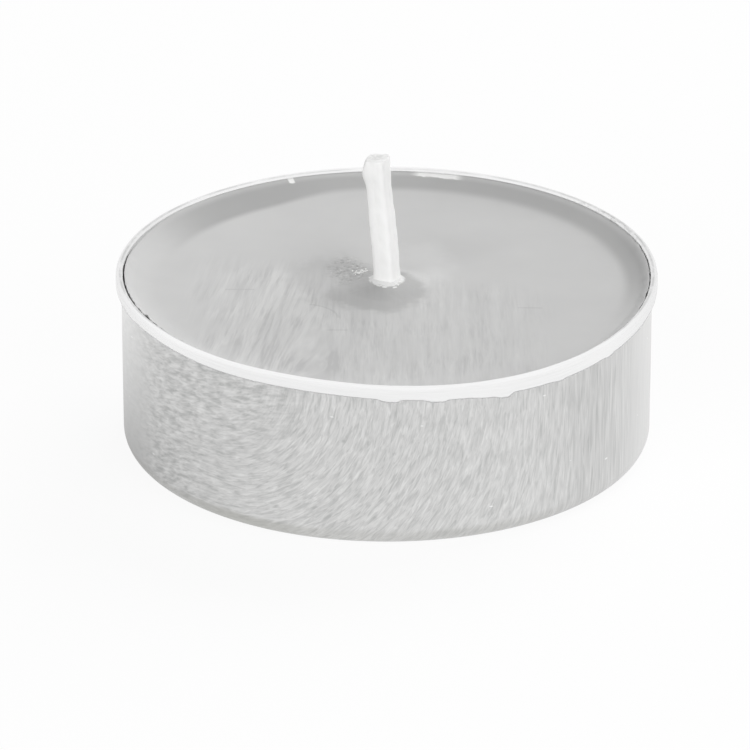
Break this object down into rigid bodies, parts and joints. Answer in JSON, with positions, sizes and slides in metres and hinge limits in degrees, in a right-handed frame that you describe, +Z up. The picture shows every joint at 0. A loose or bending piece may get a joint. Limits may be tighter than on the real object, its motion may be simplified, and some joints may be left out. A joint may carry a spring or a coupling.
{
  "type": "tea light candle",
  "caption": "Small round candle in a shallow aluminium cup with a rolled rim; a waxed wick stands in the middle of the wax. Made to be burned in a tea light holder or lantern.",
  "frame": {"origin": "on the table under the middle of the cup", "axes": "+Z up out of the cup along its axis; the wick leans towards -X, and the picture looks along +Y"},
  "size_m": [0.0388, 0.0388, 0.0217],
  "materials": {
    "cup_metal": "thin drawn sheet with fine brushed streaks and a bright rolled rim",
    "wax": "plain pale paraffin wax, satin, slightly cloudy",
    "wick_cotton": "white cotton braid under a coat of wax",
    "tab_metal": "tinplate"
  },
  "bodies": {
    "root": {"cup": "cup_metal", "wax": "wax", "wick": "wick_cotton", "wick_tab": "tab_metal"}
  },
  "joints": []
}
